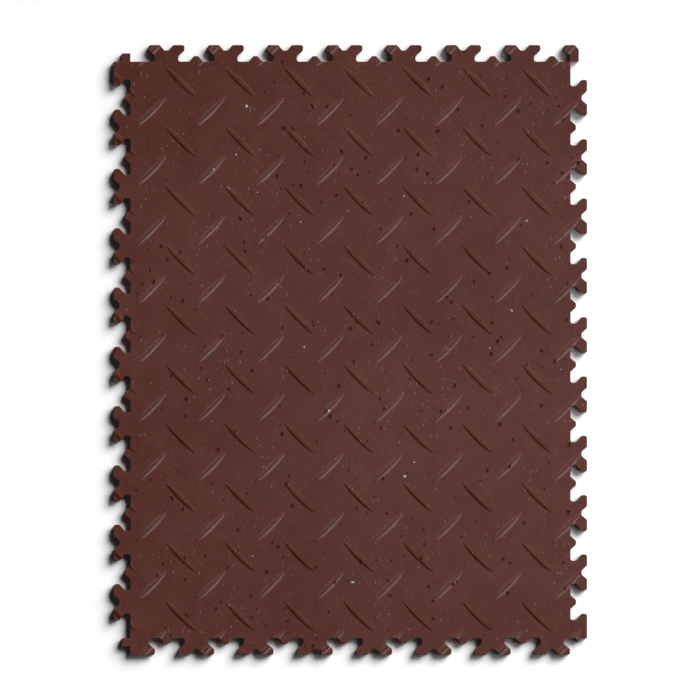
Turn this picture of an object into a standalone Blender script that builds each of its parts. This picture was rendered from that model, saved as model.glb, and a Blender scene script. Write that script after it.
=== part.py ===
"""Interlocking PVC floor tile, moulded in one piece.

A flat sheet lies on the floor with its treads up. Every edge carries dovetail tabs on one pitch,
and each tab has a notch in its end that takes the small bump between two tabs of the next tile.
+Y is the far long end of the tile, +X its right side, and z = 0 is the floor.
"""

import math

import bmesh
import bpy
from mathutils import Matrix, Vector

# Laying size: the mate lines of a tile run down the middle of its tabs
PITCH = 0.0465
LAID_WIDTH = 7.7 * PITCH
LAID_LENGTH = 10.0 * PITCH

# Thickness
SHEET_THICKNESS = 0.0065
TREAD_HEIGHT = 0.0005

# Tab profile, from the root line (height 0) to the end of the tab (height TOOTH_HEIGHT)
TOOTH_HEIGHT = 0.013
MATE_HEIGHT = TOOTH_HEIGHT / 2.0
EAR_HALF_WIDTH = 0.0141
NECK_HALF_WIDTH = PITCH / 2.0 - EAR_HALF_WIDTH
EAR_SIDE = 0.0043
NOTCH_DEPTH = 0.0043
NOTCH_FLOOR_HALF_WIDTH = 0.0016
NOTCH_MOUTH_HALF_WIDTH = 0.00535
CORNER_RADIUS = 0.0018
FLANK_RADIUS = 0.0022
ARC_STEP = math.radians(50.0)

# Places along an edge, in pitches from its left or far end, and the number of whole tabs
BLOCK_PLACE = 0.25
FIRST_PLACE = 0.75
SECOND_PLACE = 1.25
TABS_ACROSS = 7
TABS_ALONG = 9

# Treads: pointed bars, half a pitch apart in both directions; the mould sets them a little off
# the middle of the laying grid
TREAD_LENGTH = 0.0334
TREAD_WIDTH = 0.0056
TREAD_SHIFT = (-0.0003, 0.0007)
TREAD_SINK = 0.0001
TREAD_TAPER = 1.5
TREAD_RINGS = 4
TREAD_SIDES = 4
TREAD_ANGLE = math.radians(45.0)
TREAD_COLUMNS = 8
TREAD_ROWS = 10

# Mould half that forms the top of the sheet
MOULD_HEIGHT = 0.004
MOULD_MARGIN = 0.02
TRIM_HEIGHT = 0.0005

# Points this close are one
WELD_DISTANCE = 1e-6

# Recycled PVC, brown-red
PVC_COLOUR = (0.107, 0.039, 0.031, 1.0)
PVC_ROUGHNESS = 0.55

# A half profile lists its corners from the middle outwards as (along the edge, height, radius).
HALF_TAB = [
    (NOTCH_FLOOR_HALF_WIDTH, TOOTH_HEIGHT - NOTCH_DEPTH, 0.0),
    (NOTCH_MOUTH_HALF_WIDTH, TOOTH_HEIGHT, 0.0),
    (EAR_HALF_WIDTH, TOOTH_HEIGHT, CORNER_RADIUS),
    (EAR_HALF_WIDTH, TOOTH_HEIGHT - EAR_SIDE, FLANK_RADIUS),
    (NECK_HALF_WIDTH, EAR_SIDE, FLANK_RADIUS),
    (NECK_HALF_WIDTH, 0.0, CORNER_RADIUS),
]
HALF_TAB_WITHOUT_NOTCH = HALF_TAB[2:]
HALF_BUMP = [
    (NOTCH_FLOOR_HALF_WIDTH, NOTCH_DEPTH, 0.0),
    (NOTCH_MOUTH_HALF_WIDTH, 0.0, 0.0),
]


def clear_scene():
    for obj in list(bpy.data.objects):
        bpy.data.objects.remove(obj, do_unlink=True)


def new_collection(name):
    collection = bpy.data.collections.new(name)
    bpy.context.scene.collection.children.link(collection)
    return collection


def pvc_material():
    material = bpy.data.materials.new("recycled_pvc")
    material.use_nodes = True
    shader = material.node_tree.nodes["Principled BSDF"]
    shader.inputs["Base Color"].default_value = PVC_COLOUR
    shader.inputs["Roughness"].default_value = PVC_ROUGHNESS
    shader.inputs["Metallic"].default_value = 0.0
    material.diffuse_color = PVC_COLOUR
    return material


def moved(corners, centre):
    return [(centre + along, height, radius) for along, height, radius in corners]


def mirrored(corners):
    return [(-along, height, radius) for along, height, radius in reversed(corners)]


def repeated(half, first, count):
    """Places of one profile along an edge, in pitches from the edge's zero end."""
    return [(first + number, half) for number in range(count)]


def row_of(places):
    """Corners of whole tabs and bumps, in order along the edge."""
    corners = []
    for place, half in sorted(places, key=lambda item: item[0]):
        corners += moved(mirrored(half) + half, place * PITCH)
    return corners


def cut_off(corners, limit):
    """The row as the tile's mate line cuts it, brought back to the root line."""
    kept = [corner for corner in corners if corner[0] < limit]
    last = kept[-1]
    following = corners[len(kept)]
    share = (limit - last[0]) / (following[0] - last[0])
    height = last[1] + share * (following[1] - last[1])
    return kept + [(limit, height, 0.0), (limit, 0.0, 0.0)]


def far_edge():
    """Along +Y, from the left: a small square, then tabs and bumps, the last tab cut."""
    square = [
        (0.0, 0.0, 0.0),
        (0.0, MATE_HEIGHT, 0.0),
        (MATE_HEIGHT, MATE_HEIGHT, 0.0),
        (MATE_HEIGHT, 0.0, 0.0),
    ]
    tabs = repeated(HALF_TAB, FIRST_PLACE, TABS_ACROSS + 1)
    bumps = repeated(HALF_BUMP, SECOND_PLACE, TABS_ACROSS)
    return square + cut_off(row_of(tabs + bumps), LAID_WIDTH)


def near_edge():
    """Along -Y, from the left: a small square and a solid block, then bumps and tabs, the last bump cut."""
    square_and_block = [
        (0.0, 0.0, 0.0),
        (0.0, MATE_HEIGHT, 0.0),
        (MATE_HEIGHT, MATE_HEIGHT, 0.0),
        (MATE_HEIGHT, TOOTH_HEIGHT, 0.0),
    ]
    block_end = moved(HALF_TAB_WITHOUT_NOTCH, BLOCK_PLACE * PITCH)
    bumps = repeated(HALF_BUMP, FIRST_PLACE, TABS_ACROSS + 1)
    tabs = repeated(HALF_TAB, SECOND_PLACE, TABS_ACROSS)
    return square_and_block + block_end + cut_off(row_of(bumps + tabs), LAID_WIDTH)


def right_edge():
    """Along +X, from the far end: a bare stretch, then tabs and bumps, and a solid block."""
    tabs = repeated(HALF_TAB, FIRST_PLACE, TABS_ALONG)
    bumps = repeated(HALF_BUMP, SECOND_PLACE, TABS_ALONG)
    block_start = moved(mirrored(HALF_TAB_WITHOUT_NOTCH), (TABS_ALONG + FIRST_PLACE) * PITCH)
    block_corner = (LAID_LENGTH - MATE_HEIGHT, TOOTH_HEIGHT, 0.0)
    return [(MATE_HEIGHT, 0.0, 0.0)] + row_of(tabs + bumps) + block_start + [block_corner]


def left_edge():
    """Along -X, from the far end: a solid block, then bumps and tabs, and a bare stretch."""
    block_corner = (MATE_HEIGHT, TOOTH_HEIGHT, 0.0)
    block_end = moved(HALF_TAB_WITHOUT_NOTCH, BLOCK_PLACE * PITCH)
    bumps = repeated(HALF_BUMP, FIRST_PLACE, TABS_ALONG)
    tabs = repeated(HALF_TAB, SECOND_PLACE, TABS_ALONG)
    return [block_corner] + block_end + row_of(bumps + tabs) + [(LAID_LENGTH - MATE_HEIGHT, 0.0, 0.0)]


def outline_corners():
    """The whole outline, clockwise from the far left corner, as (x, y, radius)."""
    half_width = LAID_WIDTH / 2.0
    half_length = LAID_LENGTH / 2.0
    root_x = half_width - MATE_HEIGHT
    root_y = half_length - MATE_HEIGHT
    far = [(along - half_width, root_y + height, radius) for along, height, radius in far_edge()]
    right = [(root_x + height, half_length - along, radius) for along, height, radius in right_edge()]
    near = [(along - half_width, -root_y - height, radius) for along, height, radius in near_edge()]
    left = [(-root_x - height, half_length - along, radius) for along, height, radius in left_edge()]
    return far + right + near[::-1] + left[::-1]


def corner_arc(before, corner, after, radius):
    """Points of the arc that rounds one corner."""
    back = (before - corner).normalized()
    ahead = (after - corner).normalized()
    turn = math.pi - back.angle(ahead)
    centre_way = (back + ahead).normalized()
    centre = corner + centre_way * (radius / math.cos(turn / 2.0))
    start = corner + back * (radius * math.tan(turn / 2.0)) - centre
    side = 1.0 if back.cross(ahead) > 0.0 else -1.0
    steps = math.ceil(turn / ARC_STEP)
    points = []
    for step in range(steps + 1):
        swing = Matrix.Rotation(side * -turn * step / steps, 2)
        points.append(centre + swing @ start)
    return points


def outline_points():
    corners = outline_corners()
    places = [Vector(corner[:2]) for corner in corners]
    points = []
    for index, (x, y, radius) in enumerate(corners):
        if radius == 0.0:
            points.append(Vector((x, y)))
            continue
        before = places[index - 1]
        after = places[(index + 1) % len(places)]
        points += corner_arc(before, places[index], after, radius)
    return points


def prism_from_outline(name, points, height, collection):
    """A flat outline raised to a closed mesh that stands on z = 0."""
    curve = bpy.data.curves.new(name + "_outline", "CURVE")
    curve.dimensions = "2D"
    curve.fill_mode = "BOTH"
    curve.extrude = height / 2.0
    spline = curve.splines.new("POLY")
    spline.points.add(len(points) - 1)
    for spline_point, point in zip(spline.points, points):
        spline_point.co = (point.x, point.y, 0.0, 1.0)
    spline.use_cyclic_u = True
    guide = bpy.data.objects.new(name + "_guide", curve)
    guide.location.z = height / 2.0
    collection.objects.link(guide)
    bpy.context.view_layer.update()
    evaluated = guide.evaluated_get(bpy.context.evaluated_depsgraph_get())
    mesh = bpy.data.meshes.new_from_object(evaluated)
    close_caps(mesh, height)
    prism = bpy.data.objects.new(name, mesh)
    prism.matrix_world = guide.matrix_world.copy()
    collection.objects.link(prism)
    bpy.data.objects.remove(guide, do_unlink=True)
    bpy.data.curves.remove(curve)
    return prism


def close_caps(mesh, height):
    """Welds the caps to the walls, and makes each cap one face."""
    shape = bmesh.new()
    shape.from_mesh(mesh)
    bmesh.ops.remove_doubles(shape, verts=shape.verts, dist=WELD_DISTANCE)
    for level in (-height / 2.0, height / 2.0):
        cap = [
            face for face in shape.faces
            if all(abs(vert.co.z - level) < WELD_DISTANCE for vert in face.verts)
        ]
        bmesh.ops.dissolve_faces(shape, faces=cap)
    bmesh.ops.recalc_face_normals(shape, faces=shape.faces)
    shape.to_mesh(mesh)
    shape.free()


def tread_places():
    """Middle and direction of every tread: falling ones stand on the columns, rising ones on the rows."""
    left = -LAID_WIDTH / 2.0 + TREAD_SHIFT[0]
    far = LAID_LENGTH / 2.0 + TREAD_SHIFT[1]
    places = []
    for column in range(TREAD_COLUMNS):
        for row in range(TREAD_ROWS):
            places.append((left + column * PITCH, far - (row + 0.5) * PITCH, -TREAD_ANGLE))
        for row in range(TREAD_ROWS + 1):
            places.append((left + (column + 0.5) * PITCH, far - row * PITCH, TREAD_ANGLE))
    return places


def add_tread(shape, x, y, direction):
    """One spindle, pointed at both ends, whose upper half stands out of the sheet."""
    made = bmesh.ops.create_uvsphere(shape, u_segments=TREAD_SIDES, v_segments=TREAD_RINGS, radius=1.0)
    half_height = TREAD_HEIGHT + TREAD_SINK
    half_width = TREAD_WIDTH / 2.0 * half_height / TREAD_HEIGHT
    for vert in made["verts"]:
        girth = math.hypot(vert.co.x, vert.co.y)
        taper = girth ** (TREAD_TAPER - 1.0) if girth > 0.0 else 0.0
        vert.co = Vector((
            vert.co.z * TREAD_LENGTH / 2.0,
            vert.co.x * taper * half_width,
            -vert.co.y * taper * half_height,
        ))
    place = Matrix.Translation((x, y, SHEET_THICKNESS - TREAD_SINK))
    bmesh.ops.transform(shape, matrix=place @ Matrix.Rotation(direction, 4, "Z"), verts=made["verts"])


def tread_cutter(collection):
    shape = bmesh.new()
    for x, y, direction in tread_places():
        add_tread(shape, x, y, direction)
    bmesh.ops.recalc_face_normals(shape, faces=shape.faces)
    mesh = bpy.data.meshes.new("tread_form")
    shape.to_mesh(mesh)
    shape.free()
    cutter = bpy.data.objects.new("tread_form", mesh)
    collection.objects.link(cutter)
    return cutter


def mould_cutter(collection):
    """The mould half over the sheet, as a slab with a hollow for each tread."""
    width = LAID_WIDTH + TOOTH_HEIGHT + 2.0 * MOULD_MARGIN
    length = LAID_LENGTH + TOOTH_HEIGHT + 2.0 * MOULD_MARGIN
    shape = bmesh.new()
    bmesh.ops.create_cube(shape, size=1.0)
    bmesh.ops.scale(shape, vec=(width, length, MOULD_HEIGHT), verts=shape.verts)
    mesh = bpy.data.meshes.new("mould_half")
    shape.to_mesh(mesh)
    shape.free()
    cutter = bpy.data.objects.new("mould_half", mesh)
    cutter.location.z = SHEET_THICKNESS + MOULD_HEIGHT / 2.0
    collection.objects.link(cutter)
    cut(cutter, tread_cutter(collection))
    return cutter


def cut(target, cutter):
    cutter.hide_render = True
    cutter.display_type = "WIRE"
    boolean = target.modifiers.new("cut_by_" + cutter.name, "BOOLEAN")
    boolean.operation = "DIFFERENCE"
    boolean.solver = "EXACT"
    boolean.object = cutter


def build_floor_tile():
    clear_scene()
    parts = new_collection("interlocking_pvc_floor_tile")
    cutters = new_collection("cutters")
    blank_height = SHEET_THICKNESS + TREAD_HEIGHT + TRIM_HEIGHT
    tile = prism_from_outline("floor_tile", outline_points(), blank_height, parts)
    tile.data.materials.append(pvc_material())
    cut(tile, mould_cutter(cutters))


build_floor_tile()
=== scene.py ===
"""Interlocking PVC floor tile, seen straight from above on a pale floor.

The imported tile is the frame. A finer mesh of the same tile stands for it, with rounded edges,
smooth treads and a speckled recycled PVC material. All lengths are in metres.
"""

import math

import bpy
import numpy as np
from mathutils import Matrix, Vector
from mathutils.geometry import delaunay_2d_cdt


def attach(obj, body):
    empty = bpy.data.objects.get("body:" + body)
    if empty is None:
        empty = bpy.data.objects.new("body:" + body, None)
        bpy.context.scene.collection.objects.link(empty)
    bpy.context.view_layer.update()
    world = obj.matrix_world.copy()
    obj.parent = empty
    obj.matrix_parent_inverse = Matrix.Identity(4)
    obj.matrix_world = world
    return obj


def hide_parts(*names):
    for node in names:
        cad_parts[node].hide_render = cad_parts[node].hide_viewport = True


# Laying size: the mate lines of a tile run down the middle of its tabs
PITCH = 0.0465
LAID_WIDTH = 7.7 * PITCH
LAID_LENGTH = 10.0 * PITCH
SHEET_THICKNESS = 0.0065
TREAD_HEIGHT = 0.0005

# Tab profile, from the root line (height 0) to the end of the tab
TOOTH_HEIGHT = 0.013
MATE_HEIGHT = TOOTH_HEIGHT / 2.0
EAR_HALF_WIDTH = 0.0141
NECK_HALF_WIDTH = PITCH / 2.0 - EAR_HALF_WIDTH
EAR_SIDE = 0.0043
NOTCH_DEPTH = 0.0043
NOTCH_FLOOR_HALF_WIDTH = 0.0016
NOTCH_MOUTH_HALF_WIDTH = 0.00535
CORNER_RADIUS = 0.0018
FLANK_RADIUS = 0.0022
NOTCH_RADIUS = 0.0006
BLOCK_RADIUS = 0.0003
WEB_RADIUS = 0.0008
SMALLEST_RADIUS = 0.00004

# Longest steps of the visible outline, in an arc and along a straight run
ARC_STEP = math.radians(15.0)
LEAST_ARC_STEPS = 2
RUN_STEP = 0.0009

# Places along an edge, in pitches, and the number of whole tabs
BLOCK_PLACE = 0.25
FIRST_PLACE = 0.75
SECOND_PLACE = 1.25
TABS_ACROSS = 7
TABS_ALONG = 9

# Rounded top edge and broken bottom edge, each with a narrow level band beside it
TOP_EDGE_RADIUS = 0.0004
TOP_EDGE_ANGLES = [math.radians(angle) for angle in (0.0, 22.5, 45.0, 67.5, 90.0)]
LEVEL_BAND = 0.0002
BOTTOM_EDGE = 0.0003

# Treads: pointed bars, half a pitch apart in both directions, a little off the middle of the
# laying grid. Their width and height fall towards the tips, by these powers. Across a tread, the
# flat crest and the start of the full slope are shares of its half width.
TREAD_LENGTH = 0.0334
TREAD_WIDTH = 0.0055
TREAD_SHIFT = (-0.00040, 0.00075)
TREAD_TAPER = 0.6
TREAD_FALL = 0.9
CREST_FLAT = 0.1
FLANK_START = 0.6
TREAD_ANGLE = math.radians(45.0)
TREAD_COLUMNS = 8
TREAD_ROWS = 10

# Mesh of a tread: steps along each line, the crest line's share of the length, and nested lines
# from the flat around the tread inwards, as shares of its width and of its length
TREAD_STEPS = 18
CREST_REACH = 0.978
TREAD_LOOPS = [
    (1.03, 1.006),
    (1.0, 1.0),
    (0.93, 0.998),
    (0.74, 0.994),
    (0.56, 0.990),
    (0.38, 0.987),
    (0.2, 0.984),
]

# Numbers of the colour sockets on a Mix node
MIX_FACTOR = 0
MIX_FIRST = 6
MIX_SECOND = 7
MIX_COLOUR = 2

# Colours of the PVC, of its flecks and of the floor
BASE_DARK = (0.0585, 0.0058, 0.0000, 1.0)
BASE_LIGHT = (0.0824, 0.0174, 0.0096, 1.0)
PALE_FLECK = (0.20, 0.12, 0.105, 1.0)
GREY_DARK = (0.0, 0.004, 0.007, 1.0)
GREY_LIGHT = (0.0, 0.017, 0.024, 1.0)
# Darker brown painted into the bowls of the marks and the pits: painted shade, on top of the shade
# their real slopes give
BOWL_SHADE_COLOUR = (0.055, 0.0055, 0.0026, 1.0)
CHIP_COLOUR = (0.38, 0.43, 0.42, 1.0)
FLOOR_WHITE = (0.995, 0.995, 0.995, 1.0)
FLOOR_PALE = (0.985, 0.985, 0.985, 1.0)

# Noises of the PVC: scale per metre, detail and roughness
CLOUDS = (7.0, 3.0, 0.5)
MOTTLE = (70.0, 4.0, 0.5)
GRAIN = (1100.0, 3.0, 0.6)
FLECK_GROUPS = (38.0, 2.0, 0.5)
FLOOR_NOISE_SCALE = 3.0

# What a noise does: the range of it that counts, then the values at that range's two ends
CLOUD_SHADE = (0.3, 0.7, -0.3, 0.3)
MOTTLE_SHADE = (0.3, 0.7, -0.3, 0.3)
GRAIN_SHADE = (0.2, 0.8, -0.9, 0.9)
SHADE_RANGE = (-1.0, 1.0)
GROUP_SHARE = (0.42, 0.62, 0.25, 1.0)
MOTTLE_ROUGHNESS = (0.3, 0.7, 0.225, 0.245)

# Roughness that the flecks add, and that of the floor
GREY_ROUGHNESS = 0.05
CHIP_ROUGHNESS = 0.3
SCRATCH_ROUGHNESS = -0.01
FLOOR_ROUGHNESS = 0.9

# Relief: heights in metres, and slopes of the bowls of marks and pits
GRAIN_DEPTH = 0.00003
MOTTLE_DEPTH = 0.00003
DASH_DEPTH = 0.00001
MARK_SLOPE = 1.0
PIT_SLOPE = 1.1

# Soft edge of a fleck, as a share of the largest radius
FLECK_EDGE = 0.18

# How strongly flecks and scratches show: one share, or the least and the most
DASH_STRENGTH = (0.2, 0.9)
DOT_STRENGTH = 0.5
# How strongly the painted shade shows in the marks' bowls, least and most
MARK_SHADE_STRENGTH = (0.45, 0.95)
SCRATCH_STRENGTH = 0.09

# Bends of the coordinates: noise scale per metre and reach in metres, and the noise's mean
FINE_BEND = (500.0, 0.0012)
CHIP_BEND = (500.0, 0.0035)
SCRATCH_BEND = (30.0, 0.003)
NOISE_MEAN = (0.5, 0.5, 0.5)

# Stretches of the coordinates: turn and scale along each axis
DASH_STRETCH = (0.12, (1.0, 0.3, 1.0))
MARK_STRETCH = (0.5, (1.0, 0.6, 1.0))
PIT_STRETCH = (-0.6, (1.0, 0.5, 1.0))

# Scratches: turn, stretch, limits of a line, scale of the groups and limits of a group
FALLING_SCRATCHES = (math.radians(52.0), (16.0, 900.0, 16.0), (0.60, 0.72), 22.0, (0.52, 0.64))
RISING_SCRATCHES = (math.radians(-38.0), (22.0, 800.0, 22.0), (0.62, 0.74), 31.0, (0.60, 0.68))
SCRATCH_DETAIL = 1.0

# Flecks: cells per metre, least and most radius, share of the cells that have one, and a shift
PALE_DASHES = (420.0, 0.00019, 0.00042, 1.0, (0.31, 0.17, 0.05))
PALE_DOTS = (420.0, 0.00016, 0.00036, 0.9, (0.57, 0.37, 0.19))
GREY_FLECKS = (215.0, 0.00066, 0.00088, 0.55, (0.73, 0.41, 0.29))
DARK_MARKS = (150.0, 0.0007, 0.0014, 0.5, (0.83, 0.13, 0.43))
PITS = (95.0, 0.0006, 0.0013, 0.4, (0.11, 0.67, 0.83))
CHIPS = (38.0, 0.0005, 0.0011, 1.0, (0.47, 0.23, 0.61))

# Floor, lights and camera
FLOOR_REACH = 30.0
FLOOR_GAP = 0.0001
LIGHT_DISTANCE = 3.0
# The sun gives the colour and the shadow: azimuth, elevation, strength and angle, in degrees
SUN = (44.0, 33.5, 5.15, 38.0)
# Softboxes: azimuth, elevation, strength, distance, then half width and half height in degrees.
# The side light gives colour and no sheen. It is near, so that the colour falls off to the left.
SIDE_LIGHT = (0.0, 38.0, 1.09, 0.9, 25.0, 25.0)
# The high softboxes give only the sheen that shows from above
HIGH_BOXES = [
    (-3.0, 82.4, 0.091, 3.0, 11.0, 11.0),
    (-36.0, 59.0, 0.29, 12.0, 11.0, 11.0),
    (-56.0, 65.0, 0.105, 12.0, 4.0, 4.0),
    (43.0, 50.0, 0.17, 12.0, 7.0, 7.0),
    (137.0, 58.0, 0.055, 12.0, 8.0, 8.0),
    (92.0, 63.0, 0.354, 12.0, 10.0, 10.0),
    (145.0, 70.0, 0.125, 12.0, 12.0, 12.0),
    (-149.0, 78.0, 0.033, 3.0, 12.0, 12.0),
]
# The low softboxes give only the sheen that shows from the sides
LOW_BOXES = [(azimuth, 22.0, 0.12, 12.0, 20.0, 12.0) for azimuth in range(0, 360, 45)]
WORLD_COLOUR = (1.0, 1.0, 1.0, 1.0)
WORLD_STRENGTH = 0.012
LENS = 600.0
SENSOR = 36.0
FARTHEST_SEEN = 100.0
IMAGE_SIDE = 700
PIXEL_SIZE = 0.00078384
FRAME_WIDTH = IMAGE_SIDE * PIXEL_SIZE
FRAME_CENTRE = (-0.00032, -0.00007)

# Filling a flat area with triangles: done in millimetres, and only inside the border
FILL_SCALE = 1000.0
FILL_TOLERANCE = 1e-5
INSIDE_ONLY = 1

# A half profile lists its corners from the middle outwards, as (along the edge, height, radius)
HALF_TAB = [
    (NOTCH_FLOOR_HALF_WIDTH, TOOTH_HEIGHT - NOTCH_DEPTH, NOTCH_RADIUS),
    (NOTCH_MOUTH_HALF_WIDTH, TOOTH_HEIGHT, NOTCH_RADIUS),
    (EAR_HALF_WIDTH, TOOTH_HEIGHT, CORNER_RADIUS),
    (EAR_HALF_WIDTH, TOOTH_HEIGHT - EAR_SIDE, FLANK_RADIUS),
    (NECK_HALF_WIDTH, EAR_SIDE, FLANK_RADIUS),
    (NECK_HALF_WIDTH, 0.0, CORNER_RADIUS),
]
HALF_TAB_WITHOUT_NOTCH = HALF_TAB[2:]
HALF_BUMP = [
    (NOTCH_FLOOR_HALF_WIDTH, NOTCH_DEPTH, NOTCH_RADIUS),
    (NOTCH_MOUTH_HALF_WIDTH, 0.0, NOTCH_RADIUS),
]


def moved(corners, centre):
    return [(centre + along, height, radius) for along, height, radius in corners]


def mirrored(corners):
    return [(-along, height, radius) for along, height, radius in reversed(corners)]


def repeated(half, first, count):
    """Places of one profile along an edge, in pitches from the edge's zero end."""
    return [(first + number, half) for number in range(count)]


def row_of(places):
    """Corners of whole tabs and bumps, in order along the edge."""
    corners = []
    for place, half in sorted(places, key=lambda item: item[0]):
        corners += moved(mirrored(half) + half, place * PITCH)
    return corners


def cut_off(corners, limit):
    """The row as the tile's mate line cuts it, brought back to the root line."""
    kept = [corner for corner in corners if corner[0] < limit]
    last = kept[-1]
    following = corners[len(kept)]
    share = (limit - last[0]) / (following[0] - last[0])
    height = last[1] + share * (following[1] - last[1])
    return kept + [(limit, height, BLOCK_RADIUS), (limit, 0.0, BLOCK_RADIUS)]


def far_edge():
    """Along +Y, from the left: a small square, then tabs and bumps, the last tab cut."""
    square = [
        (0.0, 0.0, BLOCK_RADIUS),
        (0.0, MATE_HEIGHT, BLOCK_RADIUS),
        (MATE_HEIGHT, MATE_HEIGHT, BLOCK_RADIUS),
        (MATE_HEIGHT, 0.0, BLOCK_RADIUS),
    ]
    tabs = repeated(HALF_TAB, FIRST_PLACE, TABS_ACROSS + 1)
    bumps = repeated(HALF_BUMP, SECOND_PLACE, TABS_ACROSS)
    return square + cut_off(row_of(tabs + bumps), LAID_WIDTH)


def near_edge():
    """Along -Y, from the left: a small square and a solid block, then bumps and tabs."""
    square_and_block = [
        (0.0, 0.0, BLOCK_RADIUS),
        (0.0, MATE_HEIGHT, BLOCK_RADIUS),
        (MATE_HEIGHT, MATE_HEIGHT, BLOCK_RADIUS),
        (MATE_HEIGHT, TOOTH_HEIGHT, BLOCK_RADIUS),
    ]
    block_end = moved(HALF_TAB_WITHOUT_NOTCH, BLOCK_PLACE * PITCH)
    bumps = repeated(HALF_BUMP, FIRST_PLACE, TABS_ACROSS + 1)
    tabs = repeated(HALF_TAB, SECOND_PLACE, TABS_ACROSS)
    return square_and_block + block_end + cut_off(row_of(bumps + tabs), LAID_WIDTH)


def right_edge():
    """Along +X, from the far end: a bare stretch, then tabs and bumps, and a solid block."""
    tabs = repeated(HALF_TAB, FIRST_PLACE, TABS_ALONG)
    bumps = repeated(HALF_BUMP, SECOND_PLACE, TABS_ALONG)
    block_start = moved(mirrored(HALF_TAB_WITHOUT_NOTCH), (TABS_ALONG + FIRST_PLACE) * PITCH)
    block_corner = (LAID_LENGTH - MATE_HEIGHT, TOOTH_HEIGHT, BLOCK_RADIUS)
    start = (MATE_HEIGHT, 0.0, WEB_RADIUS)
    return [start] + row_of(tabs + bumps) + block_start + [block_corner]


def left_edge():
    """Along -X, from the far end: a solid block, then bumps and tabs, and a bare stretch."""
    block_corner = (MATE_HEIGHT, TOOTH_HEIGHT, BLOCK_RADIUS)
    block_end = moved(HALF_TAB_WITHOUT_NOTCH, BLOCK_PLACE * PITCH)
    bumps = repeated(HALF_BUMP, FIRST_PLACE, TABS_ALONG)
    tabs = repeated(HALF_TAB, SECOND_PLACE, TABS_ALONG)
    end = (LAID_LENGTH - MATE_HEIGHT, 0.0, BLOCK_RADIUS)
    return [block_corner] + block_end + row_of(bumps + tabs) + [end]


def outline_corners():
    """The whole outline, clockwise from the far left corner, as (place, radius)."""
    half_width = LAID_WIDTH / 2.0
    half_length = LAID_LENGTH / 2.0
    root_x = half_width - MATE_HEIGHT
    root_y = half_length - MATE_HEIGHT
    far = [(along - half_width, root_y + height, radius) for along, height, radius in far_edge()]
    right = [
        (root_x + height, half_length - along, radius) for along, height, radius in right_edge()
    ]
    near = [
        (along - half_width, -root_y - height, radius) for along, height, radius in near_edge()
    ]
    left = [
        (-root_x - height, half_length - along, radius) for along, height, radius in left_edge()
    ]
    corners = far + right + near[::-1] + left[::-1]
    return [(Vector((x, y)), radius) for x, y, radius in corners]


def fillet(before, corner, after, radius, steps):
    """Points of the arc that rounds one corner."""
    back = (before - corner).normalized()
    ahead = (after - corner).normalized()
    turn = math.pi - back.angle(ahead)
    centre = corner + (back + ahead).normalized() * (radius / math.cos(turn / 2.0))
    start = corner + back * (radius * math.tan(turn / 2.0)) - centre
    side = 1.0 if back.cross(ahead) > 0.0 else -1.0
    return [
        centre + Matrix.Rotation(side * -turn * step / steps, 2) @ start
        for step in range(steps + 1)
    ]


def neighbours(places, index):
    return places[index - 1], places[index], places[(index + 1) % len(places)]


def arc_steps(places):
    """Number of steps in each corner's arc."""
    steps = []
    for index in range(len(places)):
        before, corner, after = neighbours(places, index)
        turn = math.pi - (before - corner).angle(after - corner)
        steps.append(max(LEAST_ARC_STEPS, math.ceil(turn / ARC_STEP)))
    return steps


def inset_place(before, corner, after, inset):
    """The corner of the parallel line that runs that far inside, and True at an inner corner."""
    arriving = (corner - before).normalized()
    leaving = (after - corner).normalized()
    inwards = Vector((arriving.y, -arriving.x)) + Vector((leaving.y, -leaving.x))
    scale = 2.0 / inwards.length_squared
    return corner + inwards * (inset * scale), arriving.cross(leaving) > 0.0


def runs_of(arcs):
    """Number of parts in the straight run after each arc."""
    count = len(arcs)
    return [
        max(1, math.ceil((arcs[(index + 1) % count][0] - arcs[index][-1]).length / RUN_STEP))
        for index in range(count)
    ]


def arcs_at(corners, inset):
    """Each corner's arc on the line that runs that far inside the outline."""
    places = [place for place, radius in corners]
    steps = arc_steps(places)
    shifted = []
    radii = []
    for index, (place, radius) in enumerate(corners):
        before, corner, after = neighbours(places, index)
        moved_corner, is_inner = inset_place(before, corner, after, inset)
        shifted.append(moved_corner)
        changed = radius + inset if is_inner else radius - inset
        radii.append(max(changed, SMALLEST_RADIUS))
    return [
        fillet(*neighbours(shifted, index), radii[index], steps[index])
        for index in range(len(shifted))
    ]


def loop_at(corners, parts, inset):
    """One closed line of points inside the outline; every such line has as many points."""
    arcs = arcs_at(corners, inset)
    points = []
    for index, arc in enumerate(arcs):
        following = arcs[(index + 1) % len(arcs)][0]
        points += arc
        for part in range(1, parts[index]):
            points.append(arc[-1].lerp(following, part / parts[index]))
    return np.array([point[:] for point in points])


def tread_places():
    """Middle and direction of every tread: falling ones on the columns, rising ones between."""
    left = -LAID_WIDTH / 2.0 + TREAD_SHIFT[0]
    far = LAID_LENGTH / 2.0 + TREAD_SHIFT[1]
    places = []
    for column in range(TREAD_COLUMNS):
        for row in range(TREAD_ROWS):
            places.append((left + column * PITCH, far - (row + 0.5) * PITCH, -TREAD_ANGLE))
        for row in range(TREAD_ROWS + 1):
            places.append((left + (column + 0.5) * PITCH, far - row * PITCH, TREAD_ANGLE))
    return places


def tread_half_width(along):
    """Half width of a tread at that share of its half length."""
    return TREAD_WIDTH / 2.0 * np.maximum(1.0 - along**2, 0.0) ** TREAD_TAPER


def crest_profile(across):
    """Height of a tread, 1 on its crest and 0 at its foot, at that share of its half width.

    From the flat crest outwards the slope grows smoothly, as 3t^2 - 2t^3, and then stays the same.
    The fall from the crest is the integral of that slope.
    """
    turning = FLANK_START - CREST_FLAT
    away = np.abs(across)
    turned = np.clip((away - CREST_FLAT) / turning, 0.0, 1.0)
    fall = turning * (turned**3 - turned**4 / 2.0) + np.maximum(away - FLANK_START, 0.0)
    whole_fall = turning / 2.0 + 1.0 - FLANK_START
    return np.maximum(1.0 - fall / whole_fall, 0.0)


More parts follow.
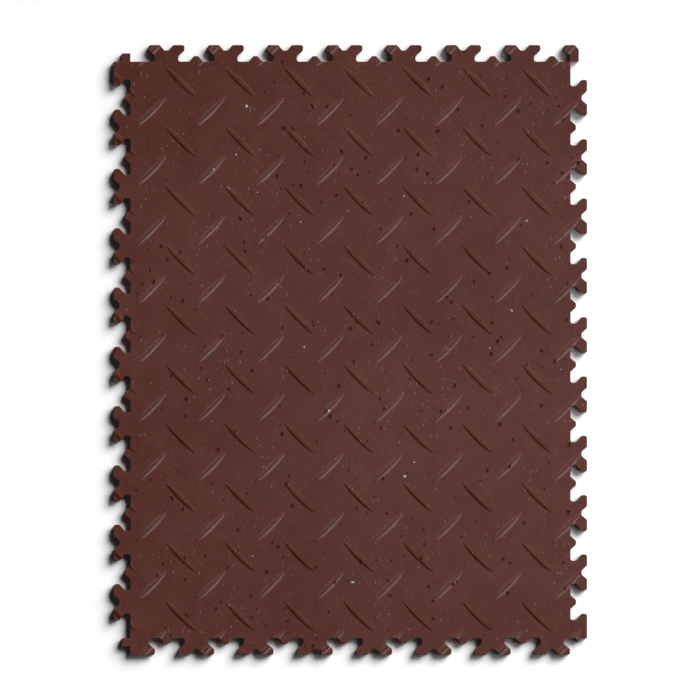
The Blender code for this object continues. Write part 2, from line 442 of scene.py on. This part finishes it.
def top_height(points):
    """Height of the tile's top at these points."""
    raised = np.zeros(len(points))
    for x, y, angle in tread_places():
        away = points - (x, y)
        along = (away[:, 0] * math.cos(angle) + away[:, 1] * math.sin(angle)) / (TREAD_LENGTH / 2.0)
        across = away[:, 1] * math.cos(angle) - away[:, 0] * math.sin(angle)
        half_width = tread_half_width(along)
        near = np.flatnonzero(half_width > np.abs(across))
        share = half_width[near] / (TREAD_WIDTH / 2.0)
        height = TREAD_HEIGHT * share**TREAD_FALL * crest_profile(across[near] / half_width[near])
        raised[near] = np.maximum(raised[near], height)
    return SHEET_THICKNESS + raised


def tread_lines():
    """Nested lines of one lying tread, each a list of (along, across) and True if it is closed."""
    turns = [math.pi * step / TREAD_STEPS for step in range(TREAD_STEPS + 1)]
    along = np.cos(turns)
    length = TREAD_LENGTH / 2.0
    lines = []
    for width_share, length_share in TREAD_LOOPS:
        reach = along * length * length_share
        side = tread_half_width(along) * width_share
        upper = np.column_stack([reach, side])
        lower = np.column_stack([reach, -side])[-2:0:-1]
        lines.append((np.vstack([upper, lower]), True))
    crest = along * length * CREST_REACH
    lines.append((np.column_stack([crest, 0.0 * crest]), False))
    return lines


def inside(points, polygon):
    """True for each point inside the polygon, by the sides that a line from it to +X crosses."""
    found = np.zeros(len(points), bool)
    ends = np.roll(polygon, -1, axis=0)
    for (x0, y0), (x1, y1) in zip(polygon, ends):
        if y0 == y1:
            continue
        crosses = (points[:, 1] < y0) != (points[:, 1] < y1)
        at = x0 + (points[:, 1] - y0) * (x1 - x0) / (y1 - y0)
        found ^= crosses & (points[:, 0] < at)
    return found


def tread_constraints(limit):
    """Points and edges of the treads' lines, without what lies outside the limit."""
    points = []
    pairs = []
    for x, y, angle in tread_places():
        turn = np.array([[math.cos(angle), math.sin(angle)], [-math.sin(angle), math.cos(angle)]])
        for line, is_closed in tread_lines():
            first = len(points)
            points += list(line @ turn + (x, y))
            numbers = list(range(first, len(points)))
            following = numbers[1:] + numbers[:1] if is_closed else numbers[1:]
            pairs += list(zip(numbers, following))
    points = np.array(points)
    pairs = np.array(pairs)
    kept = inside(points, limit)
    numbers = np.cumsum(kept) - 1
    return points[kept], numbers[pairs[kept[pairs].all(axis=1)]]


def filled(border, extra_points, extra_pairs):
    """Triangles between a closed border and the points and edges inside it, facing up."""
    count = len(border)
    points = np.vstack([border, extra_points])
    numbers = np.arange(count)
    border_pairs = np.column_stack([numbers, np.roll(numbers, -1)])
    pairs = np.vstack([border_pairs, extra_pairs + count])
    made_points, _, faces, origins, _, _ = delaunay_2d_cdt(
        [Vector(point * FILL_SCALE) for point in points],
        [tuple(int(end) for end in pair) for pair in pairs],
        [],
        INSIDE_ONLY,
        FILL_TOLERANCE,
    )
    # A made point without an origin is one where two edges cross
    place_of = []
    for point, origin in zip(made_points, origins):
        if origin:
            place_of.append(origin[0])
        else:
            place_of.append(len(points))
            points = np.vstack([points, np.array(point[:]) / FILL_SCALE])
    return points[count:], [tuple(place_of[corner] for corner in face) for face in faces]


def edge_levels():
    """The outline's parallel lines, from the underside up, as (inset, height, drop).

    A line lies either at a height or that drop below the tile's top; the other one is None.
    """
    levels = [
        (BOTTOM_EDGE + LEVEL_BAND, 0.0, None),
        (BOTTOM_EDGE, 0.0, None),
        (0.0, BOTTOM_EDGE, None),
    ]
    for angle in TOP_EDGE_ANGLES:
        inset = TOP_EDGE_RADIUS * (1.0 - math.cos(angle))
        drop = TOP_EDGE_RADIUS * (1.0 - math.sin(angle))
        levels.append((inset, None, drop))
    levels.append((TOP_EDGE_RADIUS + LEVEL_BAND, None, 0.0))
    return levels


def wall_faces(level_count, count):
    """Quads from each line of points to the next line up."""
    faces = []
    for level in range(level_count - 1):
        low = level * count
        high = low + count
        for number in range(count):
            following = (number + 1) % count
            faces.append((low + number, high + number, high + following, low + following))
    return faces


def tile_mesh():
    """The whole tile: its walls and edges from parallel lines, then its top and its underside."""
    corners = outline_corners()
    parts = runs_of(arcs_at(corners, 0.0))
    levels = edge_levels()
    vertices = []
    for inset, height, drop in levels:
        loop = loop_at(corners, parts, inset)
        z = np.full(len(loop), height) if drop is None else top_height(loop) - drop
        vertices.append(np.column_stack([loop, z]))
    count = len(vertices[0])
    faces = wall_faces(len(levels), count)

    top_loop = vertices[-1][:, :2]
    bottom_loop = vertices[0][:, :2]
    limit = loop_at(corners, parts, TOP_EDGE_RADIUS + 2.0 * LEVEL_BAND)
    inner, top_faces = filled(top_loop, *tread_constraints(limit))
    top_first = (len(levels) - 1) * count
    faces += [tuple(top_first + corner for corner in face) for face in top_faces]
    nothing = np.zeros((0, 2), int)
    _, bottom_faces = filled(bottom_loop, nothing, nothing)
    faces += [face[::-1] for face in bottom_faces]
    vertices.append(np.column_stack([inner, top_height(inner)]))

    mesh = bpy.data.meshes.new("moulded_tile")
    mesh.from_pydata(np.vstack(vertices).tolist(), [], faces)
    mesh.shade_smooth()
    return mesh


def add_object(name, data):
    made = bpy.data.objects.new(name, data)
    bpy.context.scene.collection.objects.link(made)
    return made


def node(tree, kind, inputs=None, **settings):
    """A new shader node; an input is a number, a colour or another node's output."""
    made = tree.nodes.new(kind)
    for name, value in settings.items():
        setattr(made, name, value)
    for name, value in (inputs or {}).items():
        if isinstance(value, bpy.types.NodeSocket):
            tree.links.new(value, made.inputs[name])
        else:
            made.inputs[name].default_value = value
    return made


def stretched(tree, place, angle, scale):
    """The surface's coordinates, turned about Z and scaled along each axis."""
    turned = node(tree, "ShaderNodeMapping", {"Vector": place, "Rotation": (0.0, 0.0, angle)})
    return node(tree, "ShaderNodeMapping", {"Vector": turned.outputs[0], "Scale": scale}).outputs[0]


def noise(tree, place, scale, detail=2.0, roughness=0.5):
    made = node(
        tree,
        "ShaderNodeTexNoise",
        {"Vector": place, "Scale": scale, "Detail": detail, "Roughness": roughness},
    )
    return made.outputs["Fac"]


def between(tree, value, low, high, bottom=0.0, top=1.0):
    """The value's share of the way from low to high, smoothed, as a number from bottom to top."""
    made = node(
        tree,
        "ShaderNodeMapRange",
        {"Value": value, "From Min": low, "From Max": high, "To Min": bottom, "To Max": top},
        interpolation_type="SMOOTHSTEP",
    )
    return made.outputs[0]


def combined(tree, operation, first, second):
    made = node(tree, "ShaderNodeMath", {0: first, 1: second}, operation=operation)
    return made.outputs[0]


def total(tree, *values):
    result = values[0]
    for value in values[1:]:
        result = combined(tree, "ADD", result, value)
    return result


def product(tree, *values):
    result = values[0]
    for value in values[1:]:
        result = combined(tree, "MULTIPLY", result, value)
    return result


def blended(tree, share, first, second):
    """The second colour over the first."""
    made = node(
        tree,
        "ShaderNodeMix",
        {MIX_FACTOR: share, MIX_FIRST: first, MIX_SECOND: second},
        data_type="RGBA",
    )
    return made.outputs[MIX_COLOUR]


def flecks(tree, place, kind):
    """Scattered flecks of one kind: at each point a fleck's share, its depth, its random number."""
    scale, least, most, chosen, shift = kind
    shifted = node(tree, "ShaderNodeMapping", {"Vector": place, "Location": shift}).outputs[0]
    cells = node(tree, "ShaderNodeTexVoronoi", {"Vector": shifted, "Scale": scale})
    spread = node(tree, "ShaderNodeSeparateColor", {"Color": cells.outputs["Color"]})
    size = between(tree, spread.outputs["Green"], 0.0, 1.0, least * scale, most * scale)
    is_chosen = combined(tree, "LESS_THAN", spread.outputs["Red"], chosen)
    closeness = combined(tree, "SUBTRACT", size, cells.outputs["Distance"])
    closeness = product(tree, is_chosen, combined(tree, "MAXIMUM", closeness, 0.0))
    share = between(tree, closeness, 0.0, FLECK_EDGE * most * scale)
    return share, product(tree, closeness, 1.0 / scale), spread.outputs["Blue"]


def displaced(tree, place, scale, distance):
    """The coordinates, bent by a coarse noise, so that what they carry is irregular."""
    wander = node(tree, "ShaderNodeTexNoise", {"Vector": place, "Scale": scale}).outputs["Color"]
    centred = node(
        tree, "ShaderNodeVectorMath", {0: wander, 1: NOISE_MEAN}, operation="SUBTRACT"
    ).outputs[0]
    step = node(
        tree, "ShaderNodeVectorMath", {0: centred, "Scale": distance}, operation="SCALE"
    ).outputs[0]
    return node(tree, "ShaderNodeVectorMath", {0: step, 1: place}, operation="ADD").outputs[0]


def scratch_set(tree, place, straight, kind):
    """Fine straight scratches of one direction, in loose groups."""
    angle, stretch, line_limits, group_scale, group_limits = kind
    lines = noise(tree, stretched(tree, straight, angle, stretch), 1.0, SCRATCH_DETAIL)
    groups = noise(tree, place, group_scale, SCRATCH_DETAIL)
    return product(tree, between(tree, lines, *line_limits), between(tree, groups, *group_limits))


def scratches(tree, place):
    """All the scratches; most of them fall to the right."""
    straight = displaced(tree, place, *SCRATCH_BEND)
    falling = scratch_set(tree, place, straight, FALLING_SCRATCHES)
    rising = scratch_set(tree, place, straight, RISING_SCRATCHES)
    return combined(tree, "MAXIMUM", falling, rising)


def base_colour(tree, place, mottle, grain):
    """Brown-red with clouds, mottle and grain."""
    shade = total(
        tree,
        between(tree, noise(tree, place, *CLOUDS), *CLOUD_SHADE),
        between(tree, mottle, *MOTTLE_SHADE),
        between(tree, grain, *GRAIN_SHADE),
    )
    return blended(tree, between(tree, shade, *SHADE_RANGE), BASE_DARK, BASE_LIGHT)


def pale_flecks(tree, place, bent):
    """Shares of the pale dots and of the pale dashes, both in loose groups."""
    groups = between(tree, noise(tree, place, *FLECK_GROUPS), *GROUP_SHARE)
    dots, _, _ = flecks(tree, place, PALE_DOTS)
    dashes, _, shade = flecks(tree, stretched(tree, bent, *DASH_STRETCH), PALE_DASHES)
    strength = between(tree, shade, 0.0, 1.0, *DASH_STRENGTH)
    return product(tree, dots, groups, DOT_STRENGTH), product(tree, dashes, groups, strength)


def dark_marks(tree, bent):
    """Share of the dark marks, which carries their painted shade, and their depth."""
    marks, depth, shade = flecks(tree, stretched(tree, bent, *MARK_STRETCH), DARK_MARKS)
    return product(tree, marks, between(tree, shade, 0.0, 1.0, *MARK_SHADE_STRENGTH)), depth


def pvc_material():
    """Recycled PVC: mottled brown-red, with flecks, marks, pits, fine scratches and grain."""
    material = bpy.data.materials.new("recycled_pvc_surface")
    material.use_nodes = True
    tree = material.node_tree
    shader = tree.nodes["Principled BSDF"]
    place = node(tree, "ShaderNodeTexCoord").outputs["Object"]
    bent = displaced(tree, place, *FINE_BEND)

    mottle = noise(tree, place, *MOTTLE)
    grain = noise(tree, place, *GRAIN)
    scratch = scratches(tree, place)
    dots, dashes = pale_flecks(tree, place, bent)
    marks, mark_depth = dark_marks(tree, bent)
    grey, _, grey_shade = flecks(tree, bent, GREY_FLECKS)
    pits, pit_depth, _ = flecks(tree, stretched(tree, bent, *PIT_STRETCH), PITS)
    chips, _, _ = flecks(tree, displaced(tree, place, *CHIP_BEND), CHIPS)

    colour = base_colour(tree, place, mottle, grain)
    layers = [
        (product(tree, scratch, SCRATCH_STRENGTH), PALE_FLECK),
        (dots, PALE_FLECK),
        (dashes, PALE_FLECK),
        # The marks and the pits get painted shade in their bowls
        (marks, BOWL_SHADE_COLOUR),
        (grey, blended(tree, grey_shade, GREY_DARK, GREY_LIGHT)),
        (pits, BOWL_SHADE_COLOUR),
        (chips, CHIP_COLOUR),
    ]
    for share, layer in layers:
        colour = blended(tree, share, colour, layer)
    tree.links.new(colour, shader.inputs["Base Color"])

    added_roughness = total(
        tree,
        product(tree, grey, GREY_ROUGHNESS),
        product(tree, chips, CHIP_ROUGHNESS),
        product(tree, scratch, SCRATCH_ROUGHNESS),
    )
    sheet_roughness = between(tree, mottle, *MOTTLE_ROUGHNESS)
    tree.links.new(total(tree, sheet_roughness, added_roughness), shader.inputs["Roughness"])

    relief = total(
        tree,
        product(tree, grain, GRAIN_DEPTH),
        product(tree, mottle, MOTTLE_DEPTH),
        product(tree, dashes, DASH_DEPTH),
        product(tree, mark_depth, -MARK_SLOPE),
        product(tree, pit_depth, -PIT_SLOPE),
    )
    bump = node(tree, "ShaderNodeBump", {"Height": relief, "Strength": 1.0, "Distance": 1.0})
    tree.links.new(bump.outputs["Normal"], shader.inputs["Normal"])
    return material


def floor_material():
    material = bpy.data.materials.new("pale_floor")
    material.use_nodes = True
    tree = material.node_tree
    shader = tree.nodes["Principled BSDF"]
    place = node(tree, "ShaderNodeTexCoord").outputs["Object"]
    colour = blended(tree, noise(tree, place, FLOOR_NOISE_SCALE), FLOOR_WHITE, FLOOR_PALE)
    tree.links.new(colour, shader.inputs["Base Color"])
    shader.inputs["Roughness"].default_value = FLOOR_ROUGHNESS
    shader.inputs["Specular IOR Level"].default_value = 0.0
    return material


def add_floor():
    mesh = bpy.data.meshes.new("floor")
    reach = FLOOR_REACH
    corners = [(-reach, -reach), (reach, -reach), (reach, reach), (-reach, reach)]
    mesh.from_pydata([(x, y, -FLOOR_GAP) for x, y in corners], [], [(0, 1, 2, 3)])
    mesh.materials.append(floor_material())
    floor = add_object("floor", mesh)


def direction_to(azimuth, elevation):
    """Unit vector towards a light, from its azimuth (+X to +Y) and its elevation, in degrees."""
    turn = math.radians(azimuth)
    rise = math.radians(elevation)
    level = math.cos(rise)
    return Vector((level * math.cos(turn), level * math.sin(turn), math.sin(rise)))


def aim(light, place):
    light.location = place
    light.rotation_mode = "QUATERNION"
    light.rotation_quaternion = (-Vector(place)).to_track_quat("-Z", "Y")


def add_sun(azimuth, elevation, strength, angle):
    """A wide soft light that gives colour and shadow but no sheen."""
    data = bpy.data.lights.new("sun", "SUN")
    data.energy = strength
    data.angle = math.radians(angle)
    sun = add_object("sun", data)
    aim(sun, direction_to(azimuth, elevation) * LIGHT_DISTANCE)
    sun.visible_glossy = False


def add_softbox(name, azimuth, elevation, strength, distance, half_width, half_height):
    """An oval area light; strength is what a surface at the origin receives that faces it."""
    data = bpy.data.lights.new(name, "AREA")
    data.shape = "ELLIPSE"
    data.size = 2.0 * distance * math.tan(math.radians(half_width))
    data.size_y = 2.0 * distance * math.tan(math.radians(half_height))
    data.energy = strength * math.pi * distance**2
    light = add_object(name, data)
    aim(light, direction_to(azimuth, elevation) * distance)
    light.visible_camera = False
    return light


def add_world():
    world = bpy.data.worlds.new("studio")
    world.use_nodes = True
    background = world.node_tree.nodes["Background"]
    background.inputs["Color"].default_value = WORLD_COLOUR
    background.inputs["Strength"].default_value = WORLD_STRENGTH
    bpy.context.scene.world = world


def add_camera():
    """Straight above the tile, with a long lens, framed as in the photograph."""
    data = bpy.data.cameras.new("camera")
    data.lens = LENS
    data.sensor_width = SENSOR
    data.clip_end = FARTHEST_SEEN
    camera = add_object("camera", data)
    height = FRAME_WIDTH * LENS / SENSOR
    camera.location = (FRAME_CENTRE[0], FRAME_CENTRE[1], SHEET_THICKNESS + height)
    bpy.context.scene.camera = camera


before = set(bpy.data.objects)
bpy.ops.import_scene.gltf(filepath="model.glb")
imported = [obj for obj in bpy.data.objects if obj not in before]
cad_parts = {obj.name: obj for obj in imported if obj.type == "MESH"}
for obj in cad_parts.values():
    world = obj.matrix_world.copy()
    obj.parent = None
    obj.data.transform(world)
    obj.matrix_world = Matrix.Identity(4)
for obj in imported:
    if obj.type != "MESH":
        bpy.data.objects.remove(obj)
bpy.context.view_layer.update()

tile = add_object("moulded_tile", tile_mesh())
tile.data.materials.append(pvc_material())
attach(tile, "root")
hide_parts("floor_tile")

add_floor()
add_sun(*SUN)
add_softbox("side_light", *SIDE_LIGHT).visible_glossy = False
for number, softbox in enumerate(HIGH_BOXES + LOW_BOXES, 1):
    add_softbox(f"softbox_{number}", *softbox).visible_diffuse = False
add_world()
add_camera()
bpy.context.scene.view_settings.view_transform = "Standard"
